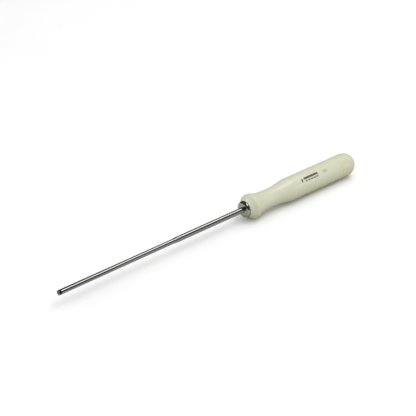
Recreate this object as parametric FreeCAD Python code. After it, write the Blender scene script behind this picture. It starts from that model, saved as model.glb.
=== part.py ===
import FreeCAD, Part
import os
from math import cos, pi, radians, sin, sqrt, tan

# A long-reach hand driver: a hollow ivory handle with a polished ferrule, a slim stepped steel shaft
# and a small hexagonal drive bit. Every length is in millimetres.
# Stations run along the tool's axis from the tip (0) to the back of the handle (LENGTH). The finished
# pieces are moved so that the tool lies along X, centred, with its widest ring touching Z = 0.

LENGTH = 400.0

# Drive bit: a hexagonal head with its corners turned off to a slight taper, and a round spigot pressed
# into the shaft.
BIT_FLATS = 4.5
BIT_TIP_R = 2.34
BIT_BACK_R = 2.44
BIT_HEAD = 1.0
BIT_DIMPLE_R = 1.3
BIT_DIMPLE_DEPTH = 0.8
BIT_SPIGOT_R = 1.6
BIT_SPIGOT_END = 14.0

# Blackened ring with a crowned rim, which closes the joint between the bit and the shaft.
RING_R = 2.46
RING_EDGE_R = 2.36
RING_END = 2.4

# Shaft: slim front, short soft step, thicker back, then collar, tang and thread inside the handle.
SHANK_R = 2.5
STEP_START = 134.6
STEP_END = 138.4
SHAFT_R = 2.95
COLLAR_START = 250.0
COLLAR_END = 253.0
COLLAR_R = 4.6
TANG_END = 300.0
THREAD_R = 2.5
SHAFT_END = 308.0
BIT_BORE_END = 15.0

# Ferrule: a low polished collar with a rounded rim, and a spigot pressed into the handle's mouth.
FERRULE_FACE = 228.6
FERRULE_R = 8.75
FERRULE_RIM_ROUND = 2.6
FERRULE_SPIGOT_R = 6.0
GASKET_THICKNESS = 0.5
GASKET_R = 8.85

# Handle: flange with a conical front, waist, shoulder and a grip that widens slightly up to the cap.
HANDLE_FACE = 232.0
FLANGE_CREST = 239.5
FLANGE_R = 13.65
FLANGE_ROUND = 2.6
FLANGE_CONE_DEG = 35.5
NECK = (247.0, 12.1)
WAIST = (267.0, 10.14)
SWELL = (284.9, 11.45)
SHOULDER = 297.0
SHOULDER_R = 13.0
SEAM = 371.6
SEAM_CHAMFER = 0.25
MOUTH_R = 6.0
SLEEVE_R = 5.0
CHAMBER_R = 7.0
CHAMBER_END = 353.0
CAP_THREAD_R = 8.0
SEAL_BORE_START = 364.6
SEAL_BORE_R = 9.5

# Sleeve that holds the tang in the handle, and the fasteners behind it.
SLEEVE_GROOVES = 12
SLEEVE_GROOVE_R = 0.4
PIN_STATION = 288.0
PIN_R = 1.25
PIN_WALL = 0.4
WASHER_R = 6.4
WASHER_THICKNESS = 1.2
LOCK_WASHER_R = 4.4
LOCK_WASHER_THICKNESS = 1.2
LOCK_WASHER_GAP = 0.8
NUT_FLATS = 8.0
NUT_THICKNESS = 4.0

# End cap: a dome on a screwed spigot, with an O-ring that seals it and moves out with it.
RUNNING_CLEARANCE = 0.06
CAP_R = 13.25
CAP_DOME = 14.0
CAP_SPIGOT_START = 355.0
CAP_LAND_START = 365.2
CAP_GROOVE_START = 366.4
CAP_GROOVE_END = 368.6
CAP_GROOVE_R = 7.7
CAP_HOLLOW_R = 5.5
CAP_HOLLOW_END = 380.0
CAP_GAP = 0.1
RING_SECTION_R = 0.85

# Small radial gap that keeps pressed and clamped pieces from sharing a face.
FIT = 0.02

AXIS = FreeCAD.Vector(1, 0, 0)
TO_FRAME = FreeCAD.Vector(-LENGTH / 2, 0, FLANGE_R)


def at(station, radius):
    """Point of an outline, in the plane of the axis and +Z."""
    return FreeCAD.Vector(station, 0, radius)


def line(a, b):
    return Part.makeLine(at(*a), at(*b))


def arc(a, middle, b):
    return Part.Arc(at(*a), at(*middle), at(*b)).toShape()


def rim_arc(centre, radius, start_deg):
    """Arc about centre from start_deg over to the top of the rim (90 degrees), as an edge."""
    angles = [radians(start_deg + (90 - start_deg) * part) for part in (0, 0.5, 1)]
    places = [(centre[0] + radius * cos(a), centre[1] + radius * sin(a)) for a in angles]
    return arc(*places)


def polyline(points):
    return [line(a, b) for a, b in zip(points, points[1:])]


def revolve(edges):
    """Solid of revolution about the axis from a closed outline."""
    face = Part.Face(Part.Wire(Part.__sortEdges__(edges)))
    return face.revolve(FreeCAD.Vector(0, 0, 0), AXIS, 360)


def turned(points):
    """Solid of revolution from the corners of an outline; the last corner joins the first."""
    return revolve(polyline(points + points[:1]))


def rod(start, end, radius):
    return Part.makeCylinder(radius, end - start, at(start, 0), AXIS)


def washer(start, end, outer, inner):
    return rod(start, end, outer).cut(rod(start - 1, end + 1, inner))


def hexagon(start, end, flats):
    corner = flats / sqrt(3)
    points = [
        FreeCAD.Vector(start, corner * cos(k * pi / 3), corner * sin(k * pi / 3))
        for k in range(7)
    ]
    face = Part.Face(Part.makePolygon(points))
    return face.extrude(AXIS * (end - start))


def drive_bit():
    corners = Part.makeCone(BIT_TIP_R, BIT_BACK_R, BIT_HEAD, at(0, 0), AXIS)
    head = hexagon(0, BIT_HEAD, BIT_FLATS).common(corners)
    dimple = Part.makeCone(BIT_DIMPLE_R, 0.01, BIT_DIMPLE_DEPTH, at(0, 0), AXIS)
    spigot = rod(BIT_HEAD, BIT_SPIGOT_END, BIT_SPIGOT_R)
    return head.cut(dimple).fuse(spigot).removeSplitter()


def bit_ring():
    inner = BIT_SPIGOT_R + FIT
    front = (BIT_HEAD, RING_EDGE_R)
    back = (RING_END, RING_EDGE_R)
    crown = arc(front, ((BIT_HEAD + RING_END) / 2, RING_R), back)
    return revolve(polyline([back, (RING_END, inner), (BIT_HEAD, inner), front]) + [crown])


def shaft():
    body = turned([
        (RING_END, 0),
        (RING_END, SHANK_R),
        (STEP_START, SHANK_R),
        (STEP_END, SHAFT_R),
        (COLLAR_START, SHAFT_R),
        (COLLAR_START, COLLAR_R),
        (COLLAR_END, COLLAR_R),
        (COLLAR_END, SHAFT_R),
        (TANG_END, SHAFT_R),
        (TANG_END, THREAD_R),
        (SHAFT_END, THREAD_R),
        (SHAFT_END, 0),
    ])
    bit_bore = rod(RING_END - 1, BIT_BORE_END, BIT_SPIGOT_R + FIT)
    return body.cut(bit_bore).cut(cross_hole(PIN_R + FIT))


def cross_hole(radius):
    """Cylinder across the tang, where the pin goes."""
    base = FreeCAD.Vector(PIN_STATION, -SLEEVE_R - 1, 0)
    return Part.makeCylinder(radius, 2 * SLEEVE_R + 2, base, FreeCAD.Vector(0, 1, 0))


def ferrule():
    bore = SHAFT_R + FIT
    back = HANDLE_FACE - GASKET_THICKNESS
    rim_centre = (FERRULE_FACE + FERRULE_RIM_ROUND, FERRULE_R - FERRULE_RIM_ROUND)
    outline = polyline([
        (FERRULE_FACE + FERRULE_RIM_ROUND, FERRULE_R),
        (back, FERRULE_R),
        (back, FERRULE_SPIGOT_R - FIT),
        (COLLAR_START - 0.5, FERRULE_SPIGOT_R - FIT),
        (COLLAR_START - 0.5, bore),
        (FERRULE_FACE, bore),
        (FERRULE_FACE, rim_centre[1]),
    ])
    return revolve(outline + [rim_arc(rim_centre, FERRULE_RIM_ROUND, 180)])


def ferrule_gasket():
    return washer(HANDLE_FACE - GASKET_THICKNESS, HANDLE_FACE, GASKET_R, FERRULE_SPIGOT_R)


def grip_curve():
    """Smooth outline from the flange's crest through the waist to the shoulder."""
    curve = Part.BSplineCurve()
    points = [(FLANGE_CREST, FLANGE_R), NECK, WAIST, SWELL, (SHOULDER, SHOULDER_R)]
    curve.interpolate(Points=[at(*p) for p in points], InitialTangent=AXIS, FinalTangent=AXIS)
    return curve.toShape()


def handle_body():
    cone = radians(FLANGE_CONE_DEG)
    flange_centre = (FLANGE_CREST, FLANGE_R - FLANGE_ROUND)
    cone_end = (FLANGE_CREST - FLANGE_ROUND * sin(cone), flange_centre[1] + FLANGE_ROUND * cos(cone))
    cone_foot_r = cone_end[1] - (cone_end[0] - HANDLE_FACE) * tan(cone)
    edges = polyline([
        (SHOULDER, SHOULDER_R),
        (SEAM - SEAM_CHAMFER, CAP_R),
        (SEAM, CAP_R - SEAM_CHAMFER),
        (SEAM, SEAL_BORE_R),
        (SEAL_BORE_START, SEAL_BORE_R),
        (SEAL_BORE_START, CAP_THREAD_R),
        (CHAMBER_END, CAP_THREAD_R),
        (CHAMBER_END, CHAMBER_R),
        (TANG_END, CHAMBER_R),
        (TANG_END, SLEEVE_R),
        (COLLAR_START, SLEEVE_R),
        (COLLAR_START, MOUTH_R),
        (HANDLE_FACE, MOUTH_R),
        (HANDLE_FACE, cone_foot_r),
        cone_end,
    ])
    flange_arc = rim_arc(flange_centre, FLANGE_ROUND, 90 + FLANGE_CONE_DEG)
    return revolve(edges + [flange_arc, grip_curve()])


def tang_sleeve():
    body = washer(COLLAR_END, TANG_END, SLEEVE_R - FIT, SHAFT_R + FIT)
    for k in range(SLEEVE_GROOVES):
        turn = 2 * pi * k / SLEEVE_GROOVES
        base = FreeCAD.Vector(COLLAR_END + 4, SLEEVE_R * cos(turn), SLEEVE_R * sin(turn))
        length = TANG_END - COLLAR_END - 8
        body = body.cut(Part.makeCylinder(SLEEVE_GROOVE_R, length, base, AXIS))
    return body.cut(cross_hole(PIN_R + FIT))


def sleeve_pin():
    """Rolled spring pin: a slotted tube across the sleeve and the tang."""
    half = SLEEVE_R - 0.2
    base = FreeCAD.Vector(PIN_STATION, -half, 0)
    across = FreeCAD.Vector(0, 1, 0)
    tube = Part.makeCylinder(PIN_R, 2 * half, base, across)
    tube = tube.cut(Part.makeCylinder(PIN_R - PIN_WALL, 2 * half, base, across))
    slot = Part.makeBox(PIN_R * 2, 2 * half, PIN_WALL, FreeCAD.Vector(PIN_STATION, -half, -PIN_WALL / 2))
    return tube.cut(slot)


def clamp_washer():
    return washer(TANG_END, TANG_END + WASHER_THICKNESS, WASHER_R, THREAD_R + FIT)


def lock_washer():
    start = TANG_END + WASHER_THICKNESS
    end = start + LOCK_WASHER_THICKNESS
    ring = washer(start, end, LOCK_WASHER_R, THREAD_R + FIT)
    corner = FreeCAD.Vector(start, -LOCK_WASHER_GAP / 2, 0)
    return ring.cut(Part.makeBox(LOCK_WASHER_THICKNESS, LOCK_WASHER_GAP, LOCK_WASHER_R + 1, corner))


def lock_nut():
    start = TANG_END + WASHER_THICKNESS + LOCK_WASHER_THICKNESS
    end = start + NUT_THICKNESS
    body = hexagon(start, end, NUT_FLATS)
    return body.cut(rod(start - 1, end + 1, THREAD_R + FIT))


def end_cap():
    thread_r = CAP_THREAD_R - RUNNING_CLEARANCE
    land_r = SEAL_BORE_R - RUNNING_CLEARANCE
    dome_start = LENGTH - CAP_DOME
    start = SEAM + CAP_GAP
    edges = polyline([
        (dome_start, CAP_R),
        (start + SEAM_CHAMFER, CAP_R),
        (start, CAP_R - SEAM_CHAMFER),
        (start, land_r),
        (CAP_GROOVE_END, land_r),
        (CAP_GROOVE_END, CAP_GROOVE_R),
        (CAP_GROOVE_START, CAP_GROOVE_R),
        (CAP_GROOVE_START, land_r),
        (CAP_LAND_START, land_r),
        (CAP_LAND_START, thread_r),
        (CAP_SPIGOT_START, thread_r),
        (CAP_SPIGOT_START, CAP_HOLLOW_R),
        (CAP_HOLLOW_END, CAP_HOLLOW_R),
        (CAP_HOLLOW_END, 0),
        (LENGTH, 0),
    ])
    ellipse = Part.Ellipse(at(LENGTH, 0), at(dome_start, CAP_R), at(dome_start, 0))
    dome = Part.ArcOfEllipse(ellipse, 0, pi / 2).toShape()
    return revolve(edges + [dome])


def cap_o_ring():
    middle = (CAP_GROOVE_START + CAP_GROOVE_END) / 2
    radius = SEAL_BORE_R - RUNNING_CLEARANCE - RING_SECTION_R
    return Part.makeTorus(radius, RING_SECTION_R, at(middle, 0), AXIS)


PIECES = (
    drive_bit,
    bit_ring,
    shaft,
    ferrule,
    ferrule_gasket,
    handle_body,
    tang_sleeve,
    sleeve_pin,
    clamp_washer,
    lock_washer,
    lock_nut,
    end_cap,
    cap_o_ring,
)

os.makedirs("parts", exist_ok=True)
for piece in PIECES:
    shape = piece()
    shape.translate(TO_FRAME)
    shape.exportStep("parts/" + piece.__name__ + ".step")
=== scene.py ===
from math import cos, pi, radians, sin

import bmesh
import bpy
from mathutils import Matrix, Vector


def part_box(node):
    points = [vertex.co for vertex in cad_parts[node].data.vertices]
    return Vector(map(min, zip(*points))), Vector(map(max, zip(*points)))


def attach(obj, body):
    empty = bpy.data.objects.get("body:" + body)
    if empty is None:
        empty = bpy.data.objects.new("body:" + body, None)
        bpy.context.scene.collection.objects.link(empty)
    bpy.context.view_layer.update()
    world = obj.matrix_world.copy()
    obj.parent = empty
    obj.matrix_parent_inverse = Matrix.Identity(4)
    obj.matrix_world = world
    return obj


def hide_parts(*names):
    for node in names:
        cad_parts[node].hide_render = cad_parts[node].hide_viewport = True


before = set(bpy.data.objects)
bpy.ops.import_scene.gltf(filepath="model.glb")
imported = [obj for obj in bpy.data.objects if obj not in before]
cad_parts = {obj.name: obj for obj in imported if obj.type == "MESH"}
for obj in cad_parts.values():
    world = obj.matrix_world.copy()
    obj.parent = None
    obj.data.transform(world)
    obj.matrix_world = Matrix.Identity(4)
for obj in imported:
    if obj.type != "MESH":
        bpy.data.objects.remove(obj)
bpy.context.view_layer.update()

# A long-reach hand driver lying on a pale floor. Everything is in metres, in the frame of the CAD
# model: the shaft's axis runs along X, the bit points to -X and the flange touches Z = 0.

MM = 0.001
TURN = 2 * pi

# ---------------------------------------------------------------- places read from the frame

handle_low, handle_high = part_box("handle_body")
cap_low, cap_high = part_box("end_cap")
shaft_low, shaft_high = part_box("shaft")
ferrule_low, ferrule_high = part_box("ferrule")
shadow_ring_low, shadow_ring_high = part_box("ferrule_gasket")
ring_low, ring_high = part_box("bit_ring")
bit_low, bit_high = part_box("drive_bit")
seal_low, seal_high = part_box("cap_o_ring")
sleeve_low, sleeve_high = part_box("tang_sleeve")

AXIS_Z = (handle_low.z + handle_high.z) / 2
TIP = bit_low.x
FACE = handle_low.x
SEAM = handle_high.x
BACK = cap_high.x

FLANGE_R = (handle_high.y - handle_low.y) / 2
CAP_R = (cap_high.y - cap_low.y) / 2
FERRULE_R = (ferrule_high.y - ferrule_low.y) / 2
SHADOW_RING_R = (shadow_ring_high.y - shadow_ring_low.y) / 2
COLLAR_R = (shaft_high.y - shaft_low.y) / 2
RING_R = (ring_high.y - ring_low.y) / 2
BIT_R = (bit_high.y - bit_low.y) / 2
BIT_FLATS = bit_high.z - bit_low.z

# ---------------------------------------------------------------- sizes of the visible shapes

AROUND = 160
CORNER_STEPS = 4
CREST_STEPS = 12
CURVE_STEPS = 16
RIM_STEPS = 16
DOME_STEPS = 40
SEAL_STEPS = 24
SHARP_DEG = 40

FLANGE_FOOT_R = 8.894 * MM
FLANGE_ROUND = 2.6 * MM
FLANGE_CONE_DEG = 35.5
CREST = FACE + 7.5 * MM
NECK = (FACE + 15.0 * MM, 12.1 * MM, -0.26)
WAIST = (FACE + 35.0 * MM, 10.14 * MM, 0.0)
SWELL = (FACE + 52.9 * MM, 11.45 * MM, 0.157)
SHOULDER = (FACE + 65.0 * MM, 13.0 * MM, 0.0)
MOUTH_R = 6.0 * MM
SEAL_BORE_R = 9.5 * MM
SEAL_BORE_DEPTH = 7.0 * MM
CAP_THREAD_R = 8.0 * MM
THREAD_DEPTH = 18.6 * MM
CHAMBER_R = 7.0 * MM

SHANK_R = 2.5 * MM
SHAFT_R = 2.95 * MM
STEP_START = TIP + 134.6 * MM
STEP_END = TIP + 138.4 * MM

SPIGOT_R = CAP_THREAD_R - 0.06 * MM
LAND_R = SEAL_BORE_R - 0.06 * MM
LAND_START = SEAM - 6.4 * MM
GROOVE_START = SEAM - 5.2 * MM
GROOVE_END = SEAM - 3.0 * MM
GROOVE_R = 7.7 * MM
CAP_HOLLOW_R = 5.5 * MM
CAP_HOLLOW_END = BACK - 20.0 * MM
CAP_DOME = 14.0 * MM
PITCH = 2.0 * MM


# ---------------------------------------------------------------- mesh helpers

def around_axis(x, radius, angle):
    """Point of a turned surface. Angle 0 faces -Y and 90 degrees faces up."""
    return Vector((x, -radius * cos(angle), AXIS_Z + radius * sin(angle)))


def rounded(corners):
    """Outline from (x, r, fillet) corners: each corner becomes a short arc of points."""
    outline = []
    count = len(corners)
    for i, (x, r, fillet) in enumerate(corners):
        here = Vector((x, r))
        before = Vector(corners[i - 1][:2]) - here
        after = Vector(corners[(i + 1) % count][:2]) - here
        if fillet == 0 or before.length == 0 or after.length == 0:
            outline.append((x, r))
            continue
        reach = min(fillet, 0.45 * before.length, 0.45 * after.length)
        start = here + before.normalized() * reach
        end = here + after.normalized() * reach
        for k in range(CORNER_STEPS + 1):
            t = k / CORNER_STEPS
            p = start * (1 - t) ** 2 + here * 2 * t * (1 - t) + end * t ** 2
            outline.append((p.x, p.y))
    return outline


def hermite(a, b, steps):
    """Points from a to b, each (x, r, slope), leaving out a itself."""
    points = []
    width = b[0] - a[0]
    for k in range(1, steps + 1):
        t = k / steps
        r = (
            a[1] * (2 * t ** 3 - 3 * t ** 2 + 1)
            + a[2] * width * (t ** 3 - 2 * t ** 2 + t)
            + b[1] * (3 * t ** 2 - 2 * t ** 3)
            + b[2] * width * (t ** 3 - t ** 2)
        )
        points.append((a[0] + t * width, r))
    return points


def arc(centre, radius, start_deg, end_deg, steps):
    """Points of an arc in the (x, r) plane, both ends included."""
    angles = [radians(start_deg + (end_deg - start_deg) * k / steps) for k in range(steps + 1)]
    return [(centre[0] + radius * cos(a), centre[1] + radius * sin(a)) for a in angles]


def add_ring(bm, x, radius, shape):
    if radius < 1e-7:
        return [bm.verts.new(around_axis(x, 0, 0))]
    return [
        bm.verts.new(around_axis(x, shape(x, radius, TURN * k / AROUND), TURN * k / AROUND))
        for k in range(AROUND)
    ]


def join_rings(bm, first, second):
    count = max(len(first), len(second))
    if count == 1:
        return
    for k in range(count):
        n = (k + 1) % count
        corners = [first[k % len(first)], second[k % len(second)]]
        if len(second) > 1:
            corners.append(second[n])
        if len(first) > 1:
            corners.append(first[n])
        bm.faces.new(corners)


def plain(x, radius, angle):
    return radius


def lathe(name, outline, shape=plain, closed=True):
    """Turned piece from an (x, r) outline. shape(x, r, angle) may change the radius at each point."""
    bm = bmesh.new()
    rings = [add_ring(bm, x, r, shape) for x, r in outline]
    pairs = list(zip(rings, rings[1:]))
    if closed:
        pairs.append((rings[-1], rings[0]))
    for first, second in pairs:
        join_rings(bm, first, second)
    return finished(name, bm)


def finished(name, bm):
    """Object from bm, shaded smooth except at its sharp edges."""
    bmesh.ops.recalc_face_normals(bm, faces=bm.faces)
    for face in bm.faces:
        face.smooth = True
    for edge in bm.edges:
        if len(edge.link_faces) == 2 and edge.calc_face_angle(0) > radians(SHARP_DEG):
            edge.smooth = False
    mesh = bpy.data.meshes.new(name)
    bm.to_mesh(mesh)
    bm.free()
    piece = bpy.data.objects.new(name, mesh)
    bpy.context.scene.collection.objects.link(piece)
    return piece


def placed(piece, body, material, slot, *nodes):
    """Gives a piece its material and body, and hides the CAD nodes it stands for. slot is not used."""
    piece.data.materials.append(material)
    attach(piece, body)
    if nodes:
        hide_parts(*nodes)
    return piece


# ---------------------------------------------------------------- material helpers

def new_material(name, colour, metallic, roughness):
    material = bpy.data.materials.new(name)
    material.use_nodes = True
    tree = material.node_tree
    shader = tree.nodes["Principled BSDF"]
    shader.inputs["Base Color"].default_value = (*colour, 1)
    shader.inputs["Metallic"].default_value = metallic
    shader.inputs["Roughness"].default_value = roughness
    return material, tree, shader


def add(tree, kind, **settings):
    node = tree.nodes.new(kind)
    for key, value in settings.items():
        setattr(node, key, value)
    return node


def stretched(tree, scale):
    """Object coordinates in millimetres, stretched by scale along X, Y and Z."""
    coordinates = add(tree, "ShaderNodeTexCoord")
    mapping = add(tree, "ShaderNodeMapping")
    mapping.inputs["Scale"].default_value = [s / MM for s in scale]
    tree.links.new(coordinates.outputs["Object"], mapping.inputs["Vector"])
    return mapping.outputs["Vector"]


def noise(tree, vector, detail=4.0, roughness=0.55):
    node = add(tree, "ShaderNodeTexNoise")
    node.inputs["Scale"].default_value = 1.0
    node.inputs["Detail"].default_value = detail
    node.inputs["Roughness"].default_value = roughness
    tree.links.new(vector, node.inputs["Vector"])
    return node.outputs["Fac"]


def ramp(tree, value, stops):
    """Colour ramp over value. stops is a list of (position, colour)."""
    node = add(tree, "ShaderNodeValToRGB")
    elements = node.color_ramp.elements
    while len(elements) < len(stops):
        elements.new(0.5)
    for element, (position, colour) in zip(elements, stops):
        element.position = position
        element.color = (*colour, 1)
    tree.links.new(value, node.inputs["Fac"])
    return node.outputs["Color"]


def span(tree, value, low, high):
    """Value from 0..1 mapped to low..high."""
    node = add(tree, "ShaderNodeMapRange")
    node.inputs["To Min"].default_value = low
    node.inputs["To Max"].default_value = high
    tree.links.new(value, node.inputs["Value"])
    return node.outputs["Result"]


def bump(tree, shader, height, distance, strength=1.0):
    node = add(tree, "ShaderNodeBump")
    node.inputs["Distance"].default_value = distance
    node.inputs["Strength"].default_value = strength
    tree.links.new(height, node.inputs["Height"])
    tree.links.new(node.outputs["Normal"], shader.inputs["Normal"])


# ---------------------------------------------------------------- materials

def moulded_plastic(name, light, dark, roughness):
    """Satin moulded plastic: faint cloudy colour, fine skin and slightly uneven gloss."""
    material, tree, shader = new_material(name, light, 0.0, roughness)
    clouds = noise(tree, stretched(tree, (0.03, 0.06, 0.06)), detail=5.0)
    tree.links.new(ramp(tree, clouds, [(0.3, dark), (0.7, light)]), shader.inputs["Base Color"])
    gloss = noise(tree, stretched(tree, (0.15, 0.4, 0.4)))
    tree.links.new(span(tree, gloss, roughness - 0.03, roughness + 0.05), shader.inputs["Roughness"])
    skin = noise(tree, stretched(tree, (2.5, 2.5, 2.5)), detail=3.0)
    bump(tree, shader, skin, 0.01 * MM, 0.4)
    shader.inputs["IOR"].default_value = 1.49
    shader.inputs["Subsurface Weight"].default_value = 0.06
    shader.inputs["Subsurface Radius"].default_value = (0.8, 0.7, 0.45)
    shader.inputs["Subsurface Scale"].default_value = 1.2 * MM
    return material


def polished_metal(name, light, dark, roughness, grain, depth):
    """Polished metal with fine lines. grain is the noise's stretch along X, Y and Z."""
    material, tree, shader = new_material(name, light, 1.0, roughness)
    lines = noise(tree, stretched(tree, grain), detail=6.0, roughness=0.6)
    tree.links.new(ramp(tree, lines, [(0.25, dark), (0.75, light)]), shader.inputs["Base Color"])
    smears = noise(tree, stretched(tree, (0.05, 0.3, 0.3)))
    tree.links.new(span(tree, smears, roughness * 0.6, roughness * 1.5), shader.inputs["Roughness"])
    bump(tree, shader, lines, depth, 0.6)
    return material


def rubber(name):
    material, tree, shader = new_material(name, (0.02, 0.02, 0.02), 0.0, 0.6)
    grain = noise(tree, stretched(tree, (3.0, 3.0, 3.0)))
    tree.links.new(
        ramp(tree, grain, [(0.3, (0.012, 0.012, 0.012)), (0.7, (0.03, 0.03, 0.028))]),
        shader.inputs["Base Color"],
    )
    bump(tree, shader, grain, 0.03 * MM)
    return material


def ink(name, light, dark):
    """Printed ink, a little worn in small specks."""
    material, tree, shader = new_material(name, dark, 0.0, 0.45)
    wear = noise(tree, stretched(tree, (1.6, 1.6, 1.6)), detail=6.0)
    tree.links.new(ramp(tree, wear, [(0.42, dark), (0.72, light)]), shader.inputs["Base Color"])
    return material


IVORY = moulded_plastic("ivory_plastic", (0.645, 0.65, 0.505), (0.625, 0.635, 0.485), 0.16)
CAP_IVORY = moulded_plastic("cap_plastic", (0.635, 0.635, 0.47), (0.615, 0.615, 0.445), 0.18)
SHAFT_STEEL = polished_metal("shaft_steel", (0.40, 0.41, 0.395), (0.37, 0.38, 0.365), 0.10,
                             (0.08, 9.0, 9.0), 0.0008 * MM)
FERRULE_STEEL = polished_metal("polished_steel", (0.56, 0.58, 0.52), (0.48, 0.51, 0.45), 0.09,
                               (6.0, 0.4, 0.4), 0.001 * MM)
BIT_STEEL = polished_metal("bit_steel", (0.34, 0.37, 0.40), (0.16, 0.18, 0.20), 0.24,
                           (1.2, 8.0, 8.0), 0.006 * MM)
BLACK_OXIDE = polished_metal("black_oxide", (0.030, 0.030, 0.032), (0.012, 0.012, 0.012), 0.45,
                             (4.0, 4.0, 4.0), 0.01 * MM)
ZINC = polished_metal("zinc_steel", (0.55, 0.56, 0.58), (0.42, 0.43, 0.46), 0.32,
                      (3.0, 3.0, 3.0), 0.01 * MM)
BRASS = polished_metal("brass", (0.70, 0.52, 0.24), (0.58, 0.41, 0.17), 0.28,
                       (6.0, 0.8, 0.8), 0.01 * MM)
# Dark rubber for the cap's seal, and for the ring that paints the shadow line at the ferrule's foot.
SEAL_AND_SHADOW_RUBBER = rubber("seal_rubber")
DARK_INK = ink("dark_ink", (0.16, 0.17, 0.13), (0.055, 0.065, 0.05))
GREY_INK = ink("grey_ink", (0.22, 0.23, 0.18), (0.10, 0.11, 0.085))
FAINT_INK = ink("faint_ink", (0.52, 0.52, 0.41), (0.40, 0.41, 0.32))


# ---------------------------------------------------------------- handle

def handle_outline():
    crest = (CREST, FLANGE_R, 0.0)
    outline = arc((CREST, FLANGE_R - FLANGE_ROUND), FLANGE_ROUND, 90 + FLANGE_CONE_DEG, 90, CREST_STEPS)
    for a, b in zip((crest, NECK, WAIST, SWELL), (NECK, WAIST, SWELL, SHOULDER)):
        outline += hermite(a, b, CURVE_STEPS)
    outline += rounded([
        (SEAM, CAP_R, 0.2 * MM),
        (SEAM, SEAL_BORE_R, 0.3 * MM),
        (SEAM - SEAL_BORE_DEPTH, SEAL_BORE_R, 0.1 * MM),
        (SEAM - SEAL_BORE_DEPTH, CAP_THREAD_R, 0.3 * MM),
        (SEAM - THREAD_DEPTH, CAP_THREAD_R, 0.1 * MM),
        (SEAM - THREAD_DEPTH, CHAMBER_R, 0.1 * MM),
        (sleeve_high.x, CHAMBER_R, 0.1 * MM),
        (sleeve_high.x, sleeve_high.y, 0.1 * MM),
        (sleeve_low.x, sleeve_high.y, 0.1 * MM),
        (sleeve_low.x, MOUTH_R, 0.1 * MM),
        (FACE, MOUTH_R, 0.2 * MM),
        (FACE, FLANGE_FOOT_R, 0.3 * MM),
    ])
    return outline


PARTING_WIDTH = 0.4 * MM
PARTING_DEPTH = 0.03 * MM
PARTING_END = SEAM - 1 * MM
PARTING_LEAST_R = WAIST[1] - 0.01 * MM


def parting_line(x, radius, angle):
    """Hair-fine groove where the two halves of the mould met, along both sides."""
    if not CREST < x < PARTING_END or radius < PARTING_LEAST_R:
        return radius
    to_seam = abs((angle + pi / 2) % pi - pi / 2) * radius
    return radius - PARTING_DEPTH * max(0.0, 1 - to_seam / PARTING_WIDTH)


def build_handle():
    handle = lathe("handle_shell", handle_outline(), parting_line)
    placed(handle, "handle", IVORY, "ivory_plastic", "handle_body")


THREAD_MARGIN = 0.8 * MM
THREAD_FADE = 1.0 * MM
THREAD_CUT = 0.8 * MM
THREAD_POINTS = 12
RIDGE_TOP = 2.2
RIDGE_SLOPE = 6


def thread_shape(x, radius, angle):
    """Right-hand thread cut into the cap's spigot, fading out at both ends."""
    start = cap_low.x + THREAD_MARGIN
    end = LAND_START - THREAD_MARGIN
    if radius < SPIGOT_R * 0.99 or not start < x < end:
        return radius
    fade = min(1.0, (x - start) / THREAD_FADE, (end - x) / THREAD_FADE)
    phase = (x / PITCH + angle / TURN) % 1.0
    ridge = min(1.0, max(0.0, RIDGE_TOP - abs(phase - 0.5) * RIDGE_SLOPE))
    return radius - THREAD_CUT * fade * (1 - ridge)


def thread_points():
    """Evenly spaced points along the spigot, close enough to show the thread."""
    step = PITCH / THREAD_POINTS
    count = int((LAND_START - cap_low.x - 0.6 * MM) / step)
    return [(cap_low.x + 0.3 * MM + k * step, SPIGOT_R) for k in range(1, count)]


def cap_outline():
    start = SEAM + 0.1 * MM
    thread = thread_points()
    front = rounded([
        (CAP_HOLLOW_END, CAP_HOLLOW_R, 0.4 * MM),
        (cap_low.x, CAP_HOLLOW_R, 0.3 * MM),
        (cap_low.x, SPIGOT_R, 0.25 * MM),
        (thread[0][0], SPIGOT_R, 0),
    ])
    middle = rounded([
        (LAND_START, SPIGOT_R, 0),
        (LAND_START, LAND_R, 0.2 * MM),
        (GROOVE_START, LAND_R, 0.1 * MM),
        (GROOVE_START, GROOVE_R, 0.1 * MM),
        (GROOVE_END, GROOVE_R, 0.1 * MM),
        (GROOVE_END, LAND_R, 0.1 * MM),
        (start, LAND_R, 0.1 * MM),
        (start, CAP_R, 0.2 * MM),
        (BACK - CAP_DOME, CAP_R, 0),
    ])
    dome = [
        (BACK - CAP_DOME + along * CAP_DOME, across * CAP_R)
        for along, across in arc((0, 0), 1, 90, 0, DOME_STEPS)[1:-1]
    ]
    return [(CAP_HOLLOW_END, 0)] + front + thread[1:] + middle + dome + [(BACK, 0)]


def build_cap():
    cap = lathe("cap_shell", cap_outline(), thread_shape, closed=False)
    placed(cap, "cap", CAP_IVORY, "cap_plastic", "end_cap")
    section = (seal_high.x - seal_low.x) / 2
    centre = ((seal_low.x + seal_high.x) / 2, seal_high.y - section)
    seal = lathe("cap_seal_ring", arc(centre, section, 0, 360 - 360 / SEAL_STEPS, SEAL_STEPS - 1))
    placed(seal, "cap_seal", SEAL_AND_SHADOW_RUBBER, "seal_rubber", "cap_o_ring")


# ---------------------------------------------------------------- ferrule and shaft

RIM_ROUND = 2.6 * MM
BORE_R = SHAFT_R + 0.02 * MM


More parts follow.
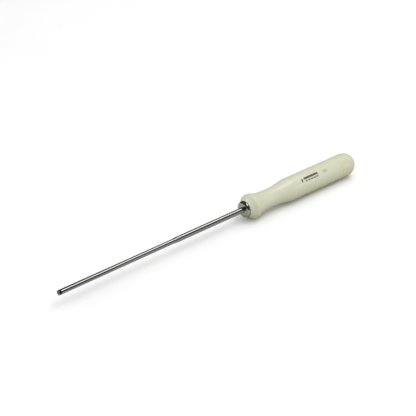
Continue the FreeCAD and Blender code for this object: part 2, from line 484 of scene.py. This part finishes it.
def build_ferrule():
    outline = arc((ferrule_low.x + RIM_ROUND, FERRULE_R - RIM_ROUND), RIM_ROUND, 180, 90, RIM_STEPS)
    outline += rounded([
        (shadow_ring_low.x, FERRULE_R, 0.15 * MM),
        (shadow_ring_low.x, MOUTH_R - 0.02 * MM, 0.1 * MM),
        (ferrule_high.x, MOUTH_R - 0.02 * MM, 0.3 * MM),
        (ferrule_high.x, BORE_R, 0.2 * MM),
        (ferrule_low.x, BORE_R, 0.35 * MM),
    ])
    ferrule = lathe("ferrule_collar", outline)
    placed(ferrule, "handle", FERRULE_STEEL, "polished_steel", "ferrule")
    # Painted shadow: this dark rubber ring at the ferrule's foot stands in for the shadow line round
    # the ferrule's base.
    shadow_ring = lathe("shadow_line_ring", rounded([
        (shadow_ring_low.x, MOUTH_R, 0),
        (shadow_ring_low.x, SHADOW_RING_R, 0.1 * MM),
        (shadow_ring_high.x, SHADOW_RING_R, 0.1 * MM),
        (shadow_ring_high.x, MOUTH_R, 0),
    ]))
    placed(shadow_ring, "handle", SEAL_AND_SHADOW_RUBBER, "seal_rubber", "ferrule_gasket")


SPIGOT_BORE_R = 1.62 * MM
SPIGOT_BORE_END = TIP + 15.0 * MM


def build_shaft():
    """Slim shank, soft step, thicker shaft, then the collar, tang and threaded end in the handle."""
    outline = [(SPIGOT_BORE_END, 0)]
    outline += rounded([
        (SPIGOT_BORE_END, SPIGOT_BORE_R, 0),
        (ring_high.x, SPIGOT_BORE_R, 0),
        (ring_high.x, SHANK_R, 0.15 * MM),
        (STEP_START, SHANK_R, 1.2 * MM),
        (STEP_END, SHAFT_R, 1.2 * MM),
        (ferrule_high.x + 0.5 * MM, SHAFT_R, 0.1 * MM),
        (ferrule_high.x + 0.5 * MM, COLLAR_R, 0.3 * MM),
        (sleeve_low.x, COLLAR_R, 0.3 * MM),
        (sleeve_low.x, SHAFT_R, 0.1 * MM),
        (sleeve_high.x, SHAFT_R, 0.1 * MM),
        (sleeve_high.x, SHANK_R, 0.1 * MM),
        (shaft_high.x, SHANK_R, 0.4 * MM),
    ])[1:]
    outline.append((shaft_high.x, 0))
    shaft = lathe("shaft_rod", outline, closed=False)
    placed(shaft, "handle", SHAFT_STEEL, "shaft_steel", "shaft")


DIMPLE_R = 1.3 * MM
DIMPLE_DEPTH = 0.8 * MM
BIT_SPIGOT_R = 1.6 * MM
HEAD_END = ring_low.x - 0.01 * MM
HEAD_LEAST_R = 0.4 * BIT_FLATS


def hex_shape(x, radius, angle):
    """Radius of a hexagon with its corners turned off, for the rim and sides of the bit's head."""
    if x > HEAD_END or radius < HEAD_LEAST_R:
        return radius
    side = angle % (pi / 3) - pi / 6
    return min(radius, BIT_FLATS / 2 / cos(side))


def build_bit():
    outline = [(TIP + DIMPLE_DEPTH, 0)]
    outline += rounded([
        (TIP, DIMPLE_R, 0.1 * MM),
        (TIP, BIT_R - 0.2 * MM, 0.1 * MM),
        (TIP + 0.2 * MM, BIT_R, 0.1 * MM),
        (ring_low.x - 0.15 * MM, BIT_R, 0.1 * MM),
        (ring_low.x, BIT_R - 0.15 * MM, 0),
        (ring_low.x, BIT_SPIGOT_R, 0),
        (bit_high.x - 0.4 * MM, BIT_SPIGOT_R, 0.1 * MM),
        (bit_high.x, BIT_SPIGOT_R - 0.4 * MM, 0.1 * MM),
    ])
    outline.append((bit_high.x, 0))
    bit = lathe("bit_hex", outline, hex_shape, closed=False)
    placed(bit, "handle", BIT_STEEL, "bit_steel", "drive_bit")
    ring = lathe("bit_ring_black", rounded([
        (ring_low.x, BIT_SPIGOT_R + 0.02 * MM, 0),
        (ring_low.x, RING_R, 0.25 * MM),
        (ring_high.x, RING_R, 0.25 * MM),
        (ring_high.x, BIT_SPIGOT_R + 0.02 * MM, 0),
    ]))
    placed(ring, "handle", BLACK_OXIDE, "black_oxide", "bit_ring")


# ---------------------------------------------------------------- printed mark

PRINT_LINE = radians(50.5)
PRINT_THICKNESS = 0.03 * MM
PRINT_STEPS = 8

BOLD_START = TIP + 312.4 * MM
BOLD_LENGTH = 21.5 * MM
BOLD_RISE = (-0.5 * MM, 1.9 * MM)

DASH_COUNT = 5
DASH_START = BOLD_START + 0.6 * MM
DASH_STEP = 4.2 * MM
DASH_LENGTH = 3.4 * MM
DASH_RISE = (-3.2 * MM, -1.9 * MM)

FAINT_COUNT = 2
FAINT_START = TIP + 342.0 * MM
FAINT_STEP = 3.2 * MM
FAINT_LENGTH = 2.6 * MM
FAINT_RISE = (-1.8 * MM, 1.2 * MM)

OVAL_CENTRE = (TIP + 309.2 * MM, -0.5 * MM)
OVAL_HALF_WIDTH = 1.15 * MM
OVAL_HALF_HEIGHT = 2.2 * MM
OVAL_LEAN = -0.7 * MM
OVAL_CUT = 0.04


def print_row(bm, left, right, v, lift):
    """Two points of an ink film on the grip, which widens evenly from the shoulder to the seam."""
    start, start_r = SHOULDER[:2]
    row = []
    for x in (left, right):
        radius = start_r + (CAP_R - start_r) * (x - start) / (SEAM - start) + lift
        row.append(bm.verts.new(around_axis(x, radius, PRINT_LINE + v / radius)))
    return row


def print_patch(name, rows, material):
    """Thin film of ink. rows are (left, right, v), with v the distance up round the grip."""
    bm = bmesh.new()
    inner = [print_row(bm, *row, -PRINT_THICKNESS) for row in rows]
    outer = [print_row(bm, *row, PRINT_THICKNESS) for row in rows]
    rings = [[a[0], a[1], b[1], b[0]] for a, b in zip(inner, outer)]
    for first, second in zip(rings, rings[1:]):
        join_rings(bm, first, second)
    bm.faces.new(rings[0])
    bm.faces.new(rings[-1])
    placed(finished(name, bm), "handle", material, "ivory_plastic")


def bar(left, length, rise):
    """Rows of a rectangle, from rise[0] up to rise[1]."""
    steps = [rise[0] + (rise[1] - rise[0]) * k / PRINT_STEPS for k in range(PRINT_STEPS + 1)]
    return [(left, left + length, v) for v in steps]


def leaning_oval():
    """Rows of an oval. Both its ends are cut off a little, so that no row is a single point."""
    rows = []
    for k in range(PRINT_STEPS + 1):
        turn = pi * (OVAL_CUT + (1 - 2 * OVAL_CUT) * k / PRINT_STEPS)
        middle = OVAL_CENTRE[0] + OVAL_LEAN * cos(turn)
        chord = OVAL_HALF_WIDTH * sin(turn)
        rows.append((middle - chord, middle + chord, OVAL_CENTRE[1] - OVAL_HALF_HEIGHT * cos(turn)))
    return rows


def build_print():
    """Plain bars and an oval in the places of the handle's printed marks."""
    print_patch("print_bold_bar", bar(BOLD_START, BOLD_LENGTH, BOLD_RISE), DARK_INK)
    for k in range(DASH_COUNT):
        dash = bar(DASH_START + k * DASH_STEP, DASH_LENGTH, DASH_RISE)
        print_patch(f"print_dash_{k}", dash, GREY_INK)
    print_patch("print_oval", leaning_oval(), GREY_INK)
    for k in range(FAINT_COUNT):
        patch = bar(FAINT_START + k * FAINT_STEP, FAINT_LENGTH, FAINT_RISE)
        print_patch(f"print_faint_{k}", patch, FAINT_INK)


# ---------------------------------------------------------------- hidden pieces that stay as CAD

def dress_hidden():
    """Gives the inner pieces their own metals."""
    finishes = {
        "tang_sleeve": BRASS,
        "sleeve_pin": ZINC,
        "clamp_washer": ZINC,
        "lock_washer": ZINC,
        "lock_nut": ZINC,
    }
    for node, material in finishes.items():
        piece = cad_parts[node]
        piece.data.materials.clear()
        piece.data.materials.append(material)


# ---------------------------------------------------------------- floor, light and camera

FLOOR_COLOUR = (0.93, 0.93, 0.93)
FLOOR_BOUNCE = (0.50, 0.505, 0.44)
FLOOR_HALF = 4.0


def floor_material():
    """Matt pale card that throws only part of its light back on the tool."""
    material, tree, shader = new_material("pale_floor", FLOOR_COLOUR, 0.0, 0.7)
    card = noise(tree, stretched(tree, (0.01, 0.01, 0.01)))
    pale = ramp(tree, card, [(0.3, FLOOR_COLOUR), (0.7, [c * 1.02 for c in FLOOR_COLOUR])])
    path = add(tree, "ShaderNodeLightPath")
    mix = add(tree, "ShaderNodeMix", data_type="RGBA")
    mix.inputs["A"].default_value = (*FLOOR_BOUNCE, 1)
    tree.links.new(path.outputs["Is Camera Ray"], mix.inputs["Factor"])
    tree.links.new(pale, mix.inputs["B"])
    tree.links.new(mix.outputs["Result"], shader.inputs["Base Color"])
    shader.inputs["Specular IOR Level"].default_value = 0.1
    return material


def build_floor():
    bm = bmesh.new()
    bmesh.ops.create_grid(bm, x_segments=1, y_segments=1, size=FLOOR_HALF)
    floor = finished("floor", bm)
    floor.data.materials.append(floor_material())


TENT_LIGHT = 0.89
TENT_IN_GLOSS = 0.05


def build_world():
    """Pale light tent all round. Gloss sees it dim, which gives the steel its dark lines."""
    world = bpy.data.worlds.new("studio")
    world.use_nodes = True
    tree = world.node_tree
    tent = tree.nodes["Background"]
    dim_tent = add(tree, "ShaderNodeBackground")
    for background, strength in ((tent, TENT_LIGHT), (dim_tent, TENT_IN_GLOSS)):
        background.inputs["Color"].default_value = (1, 1, 1, 1)
        background.inputs["Strength"].default_value = strength
    path = add(tree, "ShaderNodeLightPath")
    mix = add(tree, "ShaderNodeMixShader")
    tree.links.new(path.outputs["Is Glossy Ray"], mix.inputs[0])
    tree.links.new(tent.outputs["Background"], mix.inputs[1])
    tree.links.new(dim_tent.outputs["Background"], mix.inputs[2])
    tree.links.new(mix.outputs["Shader"], tree.nodes["World Output"].inputs["Surface"])
    bpy.context.scene.world = world


LIGHT_DISTANCE = 1.5


def add_softbox(name, radiance, size, x, rise_deg, turn_deg):
    """Softbox aimed at the tool's axis at x, from rise_deg above -Y, turned about its own aim."""
    rise = radians(rise_deg)
    data = bpy.data.lights.new(name, "AREA")
    data.shape = "RECTANGLE"
    data.size, data.size_y = size
    data.energy = radiance * pi * data.size * data.size_y
    light = bpy.data.objects.new(name, data)
    light.location = around_axis(x, LIGHT_DISTANCE, rise)
    light.rotation_mode = "ZYX"
    light.rotation_euler = (pi / 2 - rise, 0, radians(turn_deg))
    bpy.context.scene.collection.objects.link(light)


def build_lights():
    """Softbox overhead, slanting away from the tip, a dim low card and a small low softbox."""
    add_softbox("softbox", 2.35, (1.7, 0.72), x=0.66, rise_deg=82, turn_deg=42)
    add_softbox("low_card", 0.5, (0.7, 0.5), x=0.9, rise_deg=12, turn_deg=0)
    add_softbox("low_softbox", 1.6, (0.5, 0.7), x=1.52, rise_deg=17, turn_deg=0)


CAMERA_PLACE = (-0.5745, -0.6112, 0.4855)
CAMERA_AZIMUTH = radians(-42.233)
CAMERA_ELEVATION = radians(28.69)
CAMERA_LENS = 82.0


def build_camera():
    data = bpy.data.cameras.new("camera")
    data.sensor_width = 36.0
    data.lens = CAMERA_LENS
    camera = bpy.data.objects.new("camera", data)
    camera.location = CAMERA_PLACE
    back = Vector((
        sin(CAMERA_AZIMUTH) * cos(CAMERA_ELEVATION),
        -cos(CAMERA_AZIMUTH) * cos(CAMERA_ELEVATION),
        sin(CAMERA_ELEVATION),
    ))
    camera.rotation_mode = "QUATERNION"
    camera.rotation_quaternion = (-back).to_track_quat("-Z", "Y")
    bpy.context.scene.collection.objects.link(camera)
    bpy.context.scene.camera = camera


build_handle()
build_cap()
build_ferrule()
build_shaft()
build_bit()
build_print()
dress_hidden()
build_floor()
build_world()
build_lights()
build_camera()
bpy.context.scene.view_settings.view_transform = "Standard"
